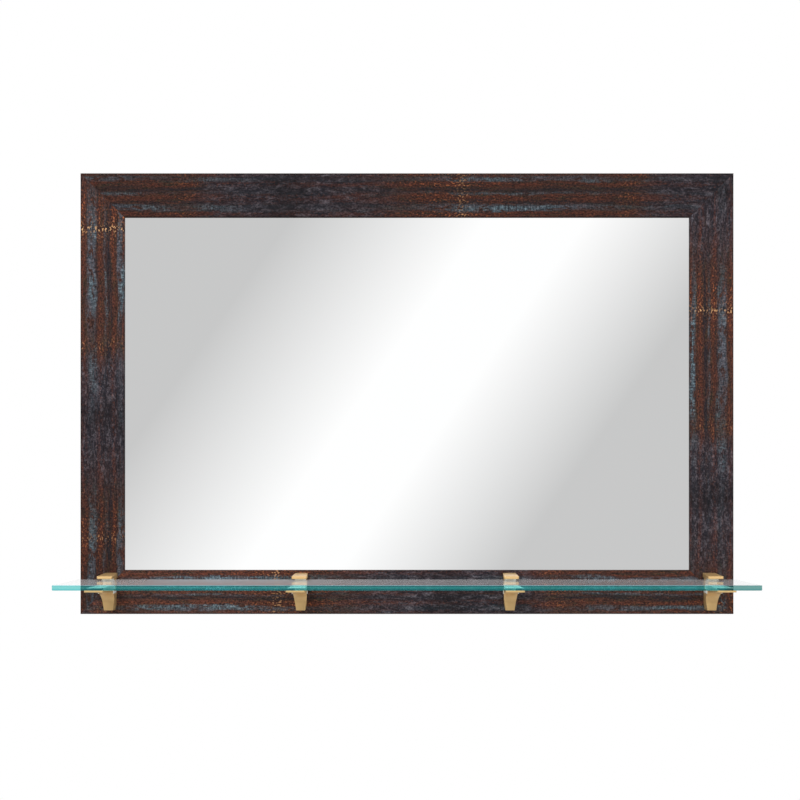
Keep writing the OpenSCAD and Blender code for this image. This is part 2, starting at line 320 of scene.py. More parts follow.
def put(tree, kind, inputs=None, **settings):
    """A shader node with its settings, and its inputs set to values or linked to sockets."""
    made = tree.nodes.new("ShaderNode" + kind)
    for name, value in settings.items():
        setattr(made, name, value)
    for name, value in (inputs or {}).items():
        wire(tree, value, made.inputs[name])
    return made


def calc(tree, operation, a, b=0.0, c=0.0, clamp=False):
    """One step of arithmetic. MULTIPLY_ADD is a times b, plus c."""
    return put(tree, "Math", {0: a, 1: b, 2: c}, operation=operation, use_clamp=clamp).outputs[0]


def times(tree, product, *factors):
    """The product of all the values given."""
    for factor in factors:
        product = calc(tree, "MULTIPLY", product, factor)
    return product


def step(tree, value, low, high):
    """0 below low, 1 above high, with a smooth rise between. With low above high it falls instead."""
    return put(tree, "MapRange", {"Value": value, "From Min": low, "From Max": high},
               interpolation_type="SMOOTHSTEP", clamp=True).outputs["Result"]


def mix(tree, factor, a, b, blend="MIX"):
    """Colour a where factor is 0 and b where it is 1."""
    return put(tree, "Mix", {0: factor, 6: a, 7: b}, data_type="RGBA", blend_type=blend).outputs[2]


def over(tree, colour, top, *factors, share=1.0):
    """A colour under a coat of top, which is as strong as the product of the factors and share."""
    strength = calc(tree, "MULTIPLY", times(tree, *factors), share, clamp=True)
    return mix(tree, strength, colour, top)


def ramp(tree, value, stops):
    """A grey that follows stops of (place, level) as value goes from 0 to 1."""
    made = put(tree, "ValToRGB", {"Fac": value})
    elements = made.color_ramp.elements
    while len(elements) < len(stops):
        elements.new(0.5)
    for element, (place, level) in zip(elements, stops):
        element.position = place
        element.color = grey(level)
    return made.outputs["Color"]


def vector(tree, x, y, z):
    return put(tree, "CombineXYZ", {0: x, 1: y, 2: z}).outputs[0]


def place_in(tree):
    """The object's own coordinates, as a vector and as X, Y and Z."""
    point = put(tree, "TexCoord").outputs["Object"]
    parts = put(tree, "SeparateXYZ", {0: point})
    return point, parts.outputs["X"], parts.outputs["Y"], parts.outputs["Z"]


def grain(tree, place, scale=1.0, detail=2.0, roughness=0.5, distortion=0.0):
    """Noise from 0 to 1 about 0.5."""
    return put(tree, "TexNoise", {"Vector": place, "Scale": scale, "Detail": detail, "Roughness": roughness,
                                  "Distortion": distortion}).outputs["Fac"]


def drawn_grain(tree, rates, detail=2.0, roughness=0.5, distortion=0.0):
    """Noise with a rate of its own along each of X, Y and Z."""
    _, *axes = place_in(tree)
    place = vector(tree, *(calc(tree, "MULTIPLY", axis, rate) for axis, rate in zip(axes, rates)))
    return grain(tree, place, 1.0, detail, roughness, distortion)


def bump(tree, height, strength, distance):
    made = put(tree, "Bump", {"Height": height, "Strength": strength, "Distance": distance})
    return made.outputs["Normal"]


def material(name):
    """A new material, with its node tree and its Principled shader."""
    made = bpy.data.materials.new(name)
    made.use_nodes = True
    return made, made.node_tree, made.node_tree.nodes["Principled BSDF"]


def finish(tree, shader, **values):
    """Sets or links the Principled shader's inputs, named with _ for a space."""
    for name, value in values.items():
        wire(tree, value, shader.inputs[name.replace("_", " ")])


def clouded(name, scale, colours, detail=2.0, relief=None, **values):
    """A material that drifts between two colours, with a relief of (strength, depth) where one is given."""
    made, tree, shader = material(name)
    cloud = grain(tree, place_in(tree)[0], scale, detail)
    if relief:
        values["Normal"] = bump(tree, cloud, *relief)
    finish(tree, shader, Base_Color=mix(tree, cloud, *colours), **values)
    return made


def blend(tree, factor, a, b):
    """Shader a where factor is 0 and b where it is 1."""
    return put(tree, "MixShader", {0: factor, 1: a, 2: b}).outputs[0]


def see_through(tree, colour):
    return put(tree, "BsdfTransparent", {"Color": colour}).outputs[0]


def glossy(tree, roughness):
    return put(tree, "BsdfGlossy", {"Color": WHITE, "Roughness": roughness}).outputs[0]


def facing(tree):
    """0 where a surface is seen square on, rising to 1 where it is seen at its flattest."""
    return put(tree, "LayerWeight", {"Blend": 0.5}).outputs["Facing"]


# ---- The frame's finish: a streaked print that repeats along each stick ----

DARK_BROWN = srgb(35, 27, 28)
BROWN = srgb(74, 51, 44)
OLIVE = srgb(66, 56, 44)
RUST = srgb(98, 53, 41)
ORANGE = srgb(172, 100, 64)
GOLD = srgb(250, 196, 140)
NAVY = srgb(34, 34, 41)
SLATE = srgb(81, 75, 81)
BLUE_GREY = srgb(60, 67, 75)
PALE_BLUE = srgb(124, 147, 157)
LAVENDER = srgb(115, 110, 117)
BLACK = srgb(18, 15, 16)

# How strong rust, blue and navy are across the moulding, from its outer edge (0) to its sight edge (1)
RAIL_RUST = [(0, 0.9), (0.09, 0.2), (0.17, 0.2), (0.22, 0.9), (0.29, 0.8), (0.34, 0.1), (0.42, 0.1),
             (0.5, 0.8), (0.6, 0.7), (0.72, 0.1), (0.84, 0.2), (0.9, 0.9), (1, 0.7)]
RAIL_BLUE = [(0, 0), (0.06, 0.1), (0.1, 0.75), (0.16, 0.75), (0.21, 0), (0.4, 0), (0.44, 0.55),
             (0.49, 0), (0.68, 0), (0.74, 1), (0.82, 1), (0.88, 0)]
RAIL_NAVY = [(0, 0.3), (0.05, 0), (0.31, 0), (0.36, 0.9), (0.41, 0.5), (0.46, 0), (0.6, 0),
             (0.66, 0.9), (0.7, 0.4), (0.76, 0)]
STILE_RUST = [(0, 0.7), (0.06, 0.9), (0.14, 0.3), (0.33, 0.1), (0.45, 0.9), (0.52, 0.3), (0.66, 0.1),
              (0.75, 1), (0.82, 0.3), (0.93, 0.1), (1, 0.9)]
STILE_BLUE = [(0.14, 0), (0.19, 1), (0.33, 1), (0.38, 0), (0.51, 0), (0.55, 0.6), (0.6, 0),
              (0.82, 0), (0.86, 1), (0.94, 1), (1, 0.2)]
STILE_NAVY = [(0, 0.2), (0.05, 0), (0.33, 0), (0.38, 0.6), (0.43, 0), (0.56, 0), (0.61, 0.9),
              (0.67, 0.9), (0.71, 0)]

# How strong each part of the print is along one repeat, which starts at its band of gold specks
RUST_ALONG = [(0, 1), (0.1, 0.9), (0.3, 0.8), (0.4, 0.85), (0.48, 0.25), (0.6, 0.15), (0.7, 0.35),
              (0.85, 0.7), (0.93, 0.9), (1, 1)]
BLUE_ALONG = [(0, 0.8), (0.04, 1), (0.22, 1), (0.28, 0.8), (0.34, 0.3), (0.39, 0.15), (0.43, 0.55),
              (0.48, 0.4), (0.53, 0.15), (0.64, 0.1), (0.82, 0.1), (0.9, 0.35), (0.96, 0.7), (1, 0.8)]
DARK_ALONG = [(0.39, 0), (0.45, 0.85), (0.52, 1), (0.68, 1), (0.78, 0.75), (0.86, 0.1), (0.9, 0)]
DEEP_ALONG = [(0.54, 0), (0.59, 1), (0.63, 1), (0.68, 0)]
GOLD_ALONG = [(0, 1), (0.006, 0.85), (0.014, 0.12), (0.05, 0), (0.34, 0), (0.37, 0.12), (0.41, 0),
              (0.95, 0), (0.986, 0.12), (0.994, 0.85), (1, 1)]
SPECK_ALONG = [(0, 1), (0.06, 0.5), (0.14, 0.2), (0.34, 0.2), (0.38, 0.7), (0.42, 0.2), (0.6, 0.1),
               (0.84, 0.25), (0.9, 0.6), (0.94, 1), (1, 1)]

# The print's patterns, each a noise: its rates along and across the stick, for each metre, where it is taken
# from, and its detail, roughness and distortion. BLOTCH has its rate along the stick for each repeat.
PATTERNS = {
    "drift": (12, 50, 3.1, 2.0, 0.5, 0.0),
    "streak": (26, 250, 11.7, 3.0, 0.6, 0.3),
    "patch": (60, 200, 23.9, 3.0, 0.7, 0.5),
    "mottle": (420, 600, 31.3, 3.0, 0.8, 0.0),
    "crack": (90, 620, 47.7, 3.0, 0.6, 0.4),
    "fleck": (330, 500, 59.1, 1.0, 0.5, 0.0),
    "comb": (520, 130, 71.9, 2.0, 0.7, 0.0),
    "speckle": (300, 470, 95.3, 2.0, 0.75, 0.0),
}
BLOTCH = (42, 210, 83.3, 3.0, 0.6, 0.6)

# What brings up each layer of the print: a pattern, and its values where the layer is absent and is full
RISES = {
    "brown": ("mottle", 0.36, 0.6),
    "olive": ("patch", 0.5, 0.6),
    "rust": ("streak", 0.36, 0.56),
    "rust_grain": ("mottle", 0.34, 0.56),
    "navy": ("streak", 0.6, 0.44),
    "dark": ("streak", 0.8, 0.56),
    "slate": ("mottle", 0.4, 0.62),
    "slate_blotch": ("blotch", 0.4, 0.56),
    "lavender_blotch": ("blotch", 0.56, 0.68),
    "blue": ("patch", 0.38, 0.52),
    "blue_grain": ("mottle", 0.3, 0.46),
    "pale": ("comb", 0.36, 0.76),
    "lavender": ("drift", 0.42, 0.56),
    "crack": ("crack", 0.55, 0.68),
    "orange_fleck": ("fleck", 0.56, 0.66),
    "gold_fleck": ("fleck", 0.55, 0.62),
    "light": ("speckle", 0.36, 0.64),
}

# How far the drift pushes the print's layers and its gold along the stick, in repeats, and its rows across
# the stick, in widths of the moulding
DRIFT_ALONG = 0.12
DRIFT_GOLD = 0.012
DRIFT_ACROSS = 0.22
# Where the painted shade along the outer and the sight edge starts and is full, in widths of the moulding
OUTER_EDGE_SHADE = (0.03, 0.0)
SIGHT_EDGE_SHADE = (0.972, 0.995)
# How far from the print's start the gold is down to its share GOLD_FAR, and is full, in repeats
GOLD_FADES = (0.8, 0.3)
GOLD_FAR = 0.3


def print_places(tree, stick):
    """Where a point of a stick lies.

    run is its place along the stick, inset its way in from the outer edge and depth its way behind the face.
    width is inset in widths of the moulding, and on the moulding's sides it runs back the way it came. turns
    is its place counted in the print's repeats.
    """
    _, *axes = place_in(tree)
    run = times(tree, axes[stick["along"]], stick["direction"])
    depth = calc(tree, "SUBTRACT", axes[1], FRONT_Y)
    inset = times(tree, calc(tree, "SUBTRACT", axes[stick["across"]], stick["edge"]), stick["inward"])
    folded = calc(tree, "ABSOLUTE", calc(tree, "SUBTRACT", inset, depth))
    start = stick["start"] * stick["direction"]
    return {
        "run": run,
        "inset": inset,
        "depth": depth,
        "width": times(tree, folded, 1 / MOULDING_W),
        "turns": calc(tree, "DIVIDE", calc(tree, "SUBTRACT", run, start), stick["repeat"]),
    }


def print_patterns(tree, at, stick, seed):
    """The print's patterns on one stick, by name."""
    made = {}
    per_repeat, *others = BLOTCH
    patterns = dict(PATTERNS, blotch=(per_repeat / stick["repeat"], *others))
    for name, (per_run, per_width, offset, detail, roughness, distortion) in patterns.items():
        place = vector(tree, calc(tree, "MULTIPLY_ADD", at["run"], per_run, seed + offset),
                       times(tree, at["inset"], per_width), times(tree, at["depth"], per_width))
        made[name] = grain(tree, place, 1.0, detail, roughness, distortion)
    return made


def brown_ground(tree, rise, rust, navy_row):
    """Mottled browns, with streaks of rust and rows of navy."""
    brown = mix(tree, rise["olive"], BROWN, OLIVE)
    colour = mix(tree, rise["brown"], DARK_BROWN, brown)
    colour = over(tree, colour, RUST, rust, rise["rust_grain"])
    return over(tree, colour, NAVY, navy_row, rise["navy"], share=0.85)


def dark_stretch(tree, rise, colour, phase, rust):
    """The mottled stretch of slate on navy, deepest at its middle, with some rust over it."""
    dark = times(tree, ramp(tree, phase, DARK_ALONG), rise["dark"])
    slate = mix(tree, rise["slate"], NAVY, SLATE)
    slate = over(tree, slate, LAVENDER, rise["lavender_blotch"], share=0.5)
    colour = mix(tree, dark, colour, mix(tree, rise["slate_blotch"], NAVY, slate))
    colour = over(tree, colour, BLACK, ramp(tree, phase, DEEP_ALONG), share=0.45)
    return over(tree, colour, RUST, rust, dark, share=0.9)


def blue_streaks(tree, rise, colour, blue):
    """Streaks of blue-grey, combed with paler blue and lavender, and fine dark cracks over it all."""
    pale = mix(tree, rise["lavender"], PALE_BLUE, LAVENDER)
    tone = mix(tree, rise["pale"], BLUE_GREY, pale)
    colour = mix(tree, times(tree, blue, rise["blue_grain"]), colour, tone)
    return over(tree, colour, BLACK, rise["crack"], share=0.65)


def gold_specks(tree, rise, colour, at, rust_row, gilding):
    """Orange flecks in the rows of rust, and a band of gold specks on black at each start of the print."""
    specked = ramp(tree, at["phase"], SPECK_ALONG)
    colour = over(tree, colour, ORANGE, rise["orange_fleck"], specked, rust_row, share=0.85)
    near = step(tree, calc(tree, "ABSOLUTE", at["turns"]), *GOLD_FADES)
    fading = calc(tree, "MULTIPLY_ADD", near, 1 - GOLD_FAR, GOLD_FAR)
    strength = times(tree, fading, gilding)
    in_rows = calc(tree, "MULTIPLY_ADD", rust_row, 0.7, 0.35)
    gilded = times(tree, ramp(tree, at["gold_phase"], GOLD_ALONG), strength, in_rows)
    colour = over(tree, colour, BLACK, gilded, share=0.4)
    return over(tree, colour, GOLD, rise["gold_fleck"], gilded, share=0.95)


def speckled_and_shaded(tree, rise, colour, turns, shade_tones):
    """The colour made lighter and darker by the print's fine speckles, and by painted shade and light that
    sets how bright the stick is along its length.
    """
    (here, tone_here), (there, tone_there) = shade_tones
    light = calc(tree, "MULTIPLY_ADD", rise["light"], 0.75, 0.62)
    tone = calc(tree, "MULTIPLY_ADD", step(tree, turns, here, there), tone_there - tone_here, tone_here)
    return mix(tree, 1.0, colour, times(tree, light, tone), "MULTIPLY")


def print_finish(name, stick, seed):
    """The finish of one stick, whose entry in the table of sticks says how the print lies on it."""
    made, tree, shader = material(name)
    at = print_places(tree, stick)
    pattern = print_patterns(tree, at, stick, seed)
    rise = {part: step(tree, pattern[source], low, high) for part, (source, low, high) in RISES.items()}

    push = calc(tree, "SUBTRACT", pattern["drift"], 0.5)
    for place, drift in (("phase", DRIFT_ALONG), ("gold_phase", DRIFT_GOLD)):
        at[place] = calc(tree, "FRACT", calc(tree, "MULTIPLY_ADD", push, drift, at["turns"]))
    across = calc(tree, "MULTIPLY_ADD", push, DRIFT_ACROSS, at["width"])
    rust_row, blue_row, navy_row = (ramp(tree, across, stops) for stops in stick["bands"])
    rust = times(tree, rust_row, ramp(tree, at["phase"], RUST_ALONG), rise["rust"])
    blue = times(tree, blue_row, ramp(tree, at["phase"], BLUE_ALONG), rise["blue"])

    colour = brown_ground(tree, rise, rust, navy_row)
    colour = dark_stretch(tree, rise, colour, at["phase"], rust)
    colour = blue_streaks(tree, rise, colour, blue)
    colour = gold_specks(tree, rise, colour, at, rust_row, stick["gilding"])
    # Painted shade and light: each stick made darker or lighter, and changing along it, as shade_tones says
    colour = speckled_and_shaded(tree, rise, colour, at["turns"], stick["shade_tones"])
    # Painted shade: a dark line along the moulding's outer edge and its sight edge
    edge_shade = calc(tree, "MAXIMUM", step(tree, at["width"], *OUTER_EDGE_SHADE), step(tree, at["width"], *SIGHT_EDGE_SHADE))
    colour = over(tree, colour, BLACK, edge_shade, share=0.75)

    relief = calc(tree, "ADD", times(tree, pattern["mottle"], 0.6), times(tree, pattern["crack"], -0.8))
    finish(tree, shader, Base_Color=colour, Normal=bump(tree, relief, 0.4, 0.3 * MM),
           Roughness=calc(tree, "MULTIPLY_ADD", pattern["mottle"], 0.2, 0.5), Specular_IOR_Level=0.15)
    return made


# ---- Other materials ----

PINE, PINE_RING, PINE_FIBRE = srgb(208, 176, 134), srgb(184, 148, 106), srgb(160, 124, 86)
BRASS, PALE_BRASS, DARK_BRASS = srgb(212, 175, 117), srgb(223, 188, 132), srgb(186, 145, 92)
ZINC, DARK_ZINC = srgb(206, 210, 212), srgb(168, 172, 176)
BOARD, PALE_BOARD, DARK_BOARD = srgb(128, 96, 66), srgb(158, 122, 86), srgb(112, 82, 56)


def bare_wood(name, along):
    """Planed pine, with its grain along the axis given (0 X, 2 Z)."""
    def rates(across, lengthwise):
        return [lengthwise if axis == along else across for axis in range(3)]
    made, tree, shader = material(name)
    rings = drawn_grain(tree, rates(170, 5), 2.0, 0.5, 0.4)
    fibres = drawn_grain(tree, rates(1400, 40), 2.0, 0.6)
    colour = mix(tree, step(tree, rings, 0.42, 0.62), PINE, PINE_RING)
    colour = mix(tree, times(tree, fibres, 0.35), colour, PINE_FIBRE)
    finish(tree, shader, Base_Color=colour, Roughness=0.72, Normal=bump(tree, fibres, 0.3, 0.1 * MM))
    return made


def mirror_silver():
    return clouded("mirror_silver", 6, (srgb(254, 255, 255), WHITE), Metallic=1.0, Roughness=0.0)


def brass():
    """Lacquered satin brass, brushed along Y, the way the arms run."""
    made, tree, shader = material("brass")
    point, *_ = place_in(tree)
    brushed = drawn_grain(tree, (2600, 160, 2600), 2.0, 0.6)
    colour = mix(tree, grain(tree, point, 90, 3.0, 0.6), BRASS, PALE_BRASS)
    colour = mix(tree, times(tree, brushed, 0.3), colour, DARK_BRASS)
    finish(tree, shader, Base_Color=colour, Metallic=0.45, Normal=bump(tree, brushed, 0.12, 0.05 * MM),
           Roughness=calc(tree, "MULTIPLY_ADD", brushed, 0.16, 0.28))
    return made


def zinc_steel():
    """Zinc plating, with a faint spangle."""
    made, tree, shader = material("zinc_steel")
    point, *_ = place_in(tree)
    spangle = put(tree, "TexVoronoi", {"Vector": point, "Scale": 420.0}).outputs["Color"]
    fine = grain(tree, point, 1400)
    colour = mix(tree, times(tree, fine, 0.5), ZINC, DARK_ZINC)
    finish(tree, shader, Base_Color=mix(tree, 0.08, colour, spangle), Metallic=1.0,
           Roughness=calc(tree, "MULTIPLY_ADD", fine, 0.2, 0.26))
    return made


def hardboard():
    """Pressed fibres, in lighter and darker clouds."""
    made, tree, shader = material("hardboard")
    point, *_ = place_in(tree)
    fibre = grain(tree, point, 700, 4.0, 0.7)
    colour = mix(tree, step(tree, fibre, 0.35, 0.7), BOARD, PALE_BOARD)
    colour = mix(tree, times(tree, grain(tree, point, 14, 3.0), 0.4), colour, DARK_BOARD)
    finish(tree, shader, Base_Color=colour, Roughness=0.8, Normal=bump(tree, fibre, 0.4, 0.15 * MM))
    return made


def rubber():
    blacks = (srgb(30, 30, 31), srgb(46, 46, 47))
    return clouded("rubber", 1800, blacks, relief=(0.3, 0.08 * MM), Roughness=0.75)


def clear_pad():
    return clouded("clear_pad", 300, (srgb(248, 249, 244), srgb(254, 253, 248)), Roughness=0.3, Alpha=0.94)


# ---- The shelf's glass ----

CLEAR_GLASS = srgb(250, 254, 253)
GLASS_IOR = 1.5
# Taken off the gloss, so that hardly any is left where the glass is seen square on
GLOSS_LOSS = 0.035
GLOSS_ROUGHNESS = 0.03
FACE_GLOSS, EDGE_GLOSS = 0.45, 0.25
EDGE_MILK = 0.5
# From within, the underside turns into a mirror between these values of facing
TURNS_BACK = (0.86, 0.9)

# The painted reflection over the faces, a pale veil: its colours at the left, at the right and in its
# clouds, where along X it changes from the first to the second, and where it is stronger, left of the middle
REFLECTION_LEFT, REFLECTION_RIGHT, REFLECTION_CLOUD = srgb(246, 244, 246), srgb(212, 210, 212), srgb(196, 194, 198)
REFLECTION_CHANGES = (-0.4, 0.3)
REFLECTION_RISES, REFLECTION_FALLS = (-0.38, -0.24), (0.0, -0.14)
REFLECTION_SHARE, REFLECTION_MORE = 0.45, 0.13
REFLECTION_FACING = (0.6, 0.96)

# The green edge: the tints that it lets through, its own greens, and how both follow its height, which
# paints the reflections inside the glass as lighter and darker rows. A painted highlight runs along its top,
# and its right end is darker with painted shade.
EDGE_TINT, EDGE_PALE_TINT = srgb(149, 248, 250), srgb(176, 254, 252)
EDGE_DARK, EDGE_BRIGHT, EDGE_WAVE = srgb(24, 134, 137), srgb(68, 172, 168), srgb(24, 146, 146)
EDGE_HIGHLIGHT = srgb(172, 208, 224)
EDGE_RIGHT_SHADE = srgb(216, 193, 190)
# Rows of painted reflection up the edge, from its bottom (0) to its top (1)
TINT_STOPS = [(0, 0.3), (0.2, 0), (0.4, 0.8), (0.6, 1), (0.76, 0.8), (1, 1)]
GREEN_STOPS = [(0, 0.3), (0.12, 0.05), (0.28, 0), (0.42, 0.9), (0.6, 1), (0.74, 0.3), (0.84, 0.2)]
HIGHLIGHT_RISES = (0.89, 0.95)
RIGHT_SHADE_FROM = (0.352, 0.366)


def glass(name, clear, milk_and_reflection, share, gloss_limit, turns_back=None):
    """Glass that doesn't bend the view: a clear part, a milky part, and a gloss at flat angles. On the faces
    the milky part is a painted reflection; on the edge it is the glass's green, with painted reflections and
    a painted highlight in it.

    clear and milk_and_reflection give the colours of the two parts and share the milky part's share, each as
    a function of the tree. Seen from within the slab, the surface is plain clear, and at the flattest angles
    a mirror as far as turns_back says. Diffuse light and shadows pass it as if it were clear all over.
    """
    made, tree, shader = material(name)
    tree.nodes.remove(shader)
    body = put(tree, "BsdfDiffuse", {"Color": milk_and_reflection(tree)}).outputs[0]
    outside = blend(tree, share(tree), see_through(tree, clear(tree)), body)
    fresnel = put(tree, "Fresnel", {"IOR": GLASS_IOR}).outputs[0]
    shine = calc(tree, "MINIMUM", calc(tree, "SUBTRACT", fresnel, GLOSS_LOSS), gloss_limit, clamp=True)
    outside = blend(tree, shine, outside, glossy(tree, GLOSS_ROUGHNESS))
    inside = see_through(tree, WHITE)
    if turns_back:
        flat = times(tree, step(tree, facing(tree), *TURNS_BACK), turns_back(tree))
        inside = blend(tree, flat, inside, glossy(tree, 0.0))
    whole = blend(tree, put(tree, "NewGeometry").outputs["Backfacing"], outside, inside)
    path = put(tree, "LightPath")
    open_way = see_through(tree, CLEAR_GLASS)
    whole = blend(tree, path.outputs["Is Diffuse Ray"], whole, open_way)
    whole = blend(tree, path.outputs["Is Shadow Ray"], whole, open_way)
    tree.links.new(whole, tree.nodes["Material Output"].inputs["Surface"])
    return made


def glass_face(name, turns_back=None):
    """The shelf's faces: clear from above, with a painted reflection, a pale veil, that grows as the view
    gets flat.
    """
    def reflection_colour(tree):
        point, x, _, _ = place_in(tree)
        # Painted reflection: paler at the left, darker at the right, in clouds
        tone = mix(tree, step(tree, x, *REFLECTION_CHANGES), REFLECTION_LEFT, REFLECTION_RIGHT)
        return mix(tree, times(tree, grain(tree, point, 12, 3.0, 0.6), 0.3), tone, REFLECTION_CLOUD)

    def reflection_share(tree):
        _, x, _, _ = place_in(tree)
        stronger = times(tree, step(tree, x, *REFLECTION_RISES), step(tree, x, *REFLECTION_FALLS))
        strength = calc(tree, "MULTIPLY_ADD", stronger, REFLECTION_MORE, REFLECTION_SHARE)
        return times(tree, step(tree, facing(tree), *REFLECTION_FACING), strength)

    return glass(name, lambda tree: CLEAR_GLASS, reflection_colour, reflection_share, FACE_GLOSS, turns_back)


def clear_of_pads(tree):
    """1 on the shelf's underside, but 0 where an arm's pad wets the glass and so is seen through it."""
    _, x, y, _ = place_in(tree)
    root_y, tip_y = FRONT_Y - POST_D, FRONT_Y - arm_pad_high.y
    half_width = put(tree, "MapRange", {
        "Value": y, "From Min": root_y, "From Max": tip_y,
        "To Min": arm_half_width(POST_D), "To Max": arm_pad_high.x}).outputs["Result"]
    covered = 0.0
    for k in BRACKETS:
        aside = calc(tree, "ABSOLUTE", calc(tree, "SUBTRACT", x, bracket_x(k)))
        covered = calc(tree, "MAXIMUM", covered, calc(tree, "LESS_THAN", aside, half_width))
    covered = times(tree, covered, calc(tree, "GREATER_THAN", y, tip_y))
    return calc(tree, "SUBTRACT", 1.0, covered)


def glass_edge():
    """The shelf's polished edge: sea green, with painted reflections that make it brightest at its middle
    height.
    """
    def height(tree):
        z = place_in(tree)[3]
        return calc(tree, "DIVIDE", calc(tree, "SUBTRACT", z, shelf_low.z), shelf_high.z - shelf_low.z)

    def shaded_at_right_end(tree, colour):
        """Painted shade: the edge is darker at the right end."""
        dim = mix(tree, 1.0, colour, EDGE_RIGHT_SHADE, "MULTIPLY")
        return mix(tree, step(tree, place_in(tree)[1], *RIGHT_SHADE_FROM), colour, dim)

    def clear(tree):
        # Painted reflections: the tint let through changes in rows up the edge
        return shaded_at_right_end(tree, mix(tree, ramp(tree, height(tree), TINT_STOPS), EDGE_TINT, EDGE_PALE_TINT))

    def milk_and_reflection(tree):
        # Painted reflections: the green changes in rows up the edge
        colour = mix(tree, ramp(tree, height(tree), GREEN_STOPS), EDGE_DARK, EDGE_BRIGHT)
        colour = mix(tree, times(tree, drawn_grain(tree, (9, 0, 260)), 0.3), colour, EDGE_WAVE)
        # A painted highlight along the edge's top
        return shaded_at_right_end(tree, mix(tree, step(tree, height(tree), *HIGHLIGHT_RISES), colour, EDGE_HIGHLIGHT))

    return glass("shelf_glass_edge", clear, milk_and_reflection, lambda tree: EDGE_MILK, EDGE_GLOSS)


# ---- Frame sticks ----

# How the print lies on each kind of stick. along and across are the axes (0 X, 2 Z) along and across it.
RAIL = {"along": 0, "across": 2, "bands": (RAIL_RUST, RAIL_BLUE, RAIL_NAVY), "repeat": 0.547}
STILE = {"along": 2, "across": 0, "bands": (STILE_RUST, STILE_BLUE, STILE_NAVY), "repeat": 0.378}

# angle (degrees) turns a stick from the top rail's place, and reach is how far its outer edge is from the
# middle. edge is where its outer edge lies, and inward (1 or -1) the way from there to the sight edge. The
# print starts at start and runs the way of direction. shade_tones are pairs of a place, in repeats from the
# start, and the stick's brightness there, which is painted shade and light. gilding is the strength of its
# gold specks.
STICKS = {
    "frame_top_rail": dict(
        RAIL, length=FRAME_W, angle=0, reach=HALF_H, edge=TOP_Z, inward=-1,
        start=0.067, direction=1, shade_tones=((0, 0.69), (1, 0.69)), gilding=0.38),
    "frame_bottom_rail": dict(
        RAIL, length=FRAME_W, angle=180, reach=HALF_H, edge=BOTTOM_Z, inward=1,
        start=-0.16, direction=-1, shade_tones=((0, 0.96), (0.1, 1.2)), gilding=0.45),
    "frame_left_stile": dict(
        STILE, length=FRAME_H, angle=-90, reach=HALF_W, edge=-HALF_W, inward=1,
        start=0.032, direction=-1, shade_tones=((0.5, 0.98), (0.9, 0.79)), gilding=1.0),
    "frame_right_stile": dict(
        STILE, length=FRAME_H, angle=90, reach=HALF_W, edge=HALF_W, inward=-1,
        start=-0.068, direction=-1, shade_tones=((0, 0.94), (1, 0.94)), gilding=0.7),
}


def even(start, end, step_size):
    """Points from start to end, end left out, about step_size apart."""
    count = max(1, round(math.dist(start, end) / step_size))
    return [tuple(s + (e - s) * k / count for s, e in zip(start, end)) for k in range(count)]


def stick_profile():
    """The moulding's outline as (y, height above the sight edge): its finished face, then its bare rear."""
    outer = MOULDING_W
    ease_y = FRONT_Y + EASE_R
    face = even((LIP_Y, 0.0), (ease_y, 0.0), ACROSS_STEP)
    face += arc((ease_y, EASE_R), EASE_R, 270, 180, 5)
    face += even((FRONT_Y, EASE_R), (FRONT_Y, outer - EASE_R), ACROSS_STEP)
    face += arc((ease_y, outer - EASE_R), EASE_R, 180, 90, 5)
    face += even((ease_y, outer), (REAR_Y, outer), ACROSS_STEP)
    back = even((REAR_Y, outer), (REAR_Y, RABBET_W), REAR_STEP)
    back += [(REAR_Y, RABBET_W), (LIP_Y, RABBET_W)]
    return face, back


def wear(x, height, seed):
    """How far the face is worn down at a place, always below its true surface."""
    share = LEVEL
    for per_run, per_width, part in (LONG_WAVE, FINE_WAVE):
        share += part * noise.noise(Vector((x * per_run + seed, height * per_width, seed)))
    return RELIEF * max(0.0, share)


def stick_points(outline, length, stations, seed):
    """The points of a mitred stick along X, with its sight edge at height 0."""
    points = []
    for i in range(stations + 1):
        share = 2 * i / stations - 1
        for y, height in outline:
            x = share * (length / 2 - MOULDING_W + height)
            edge_shade = wear(x, height, seed) if y == FRONT_Y else 0.0
            points.append(Vector((x, y + edge_shade, height)))
    return points


def build_stick(node, stick, look, bare_look, seed):
    """One mitred stick. Its face is finished, and its rear, its rabbet and its mitres are bare wood."""
    face, back = stick_profile()
    outline = face + back
    count = len(outline)
    stations = round(stick["length"] / ALONG_STEP)
    turn = Matrix.Translation((0, 0, MID_Z)) @ Matrix.Rotation(math.radians(stick["angle"]), 4, "Y")
    turn = turn @ Matrix.Translation((0, 0, stick["reach"] - MOULDING_W))
    points = [turn @ point for point in stick_points(outline, stick["length"], stations, seed)]
    obj = mesh_object(node + "_finished", points, closed_tube(stations + 1, count))
    mend(obj.data)
    smooth(obj.data, 50)
    dress(obj, "frame", "wood_frame", look, bare_look, replaces=[node])
    for polygon in obj.data.polygons:
        wall = polygon.index - 2
        polygon.material_index = 0 if wall >= 0 and wall % count < len(face) else 1


def build_frame():
    bare = {axis: bare_wood(f"bare_wood_{axis}", axis) for axis in (0, 2)}
    for number, (node, stick) in enumerate(STICKS.items()):
        look = print_finish("finish_" + node, stick, PRINT_APART * number)
        build_stick(node, stick, look, bare[stick["along"]], WEAR_APART * number)


# ---- Glass shelf ----

FACE, EDGE, UNDERSIDE = 0, 1, 2
SQUARE_ON = 0.99


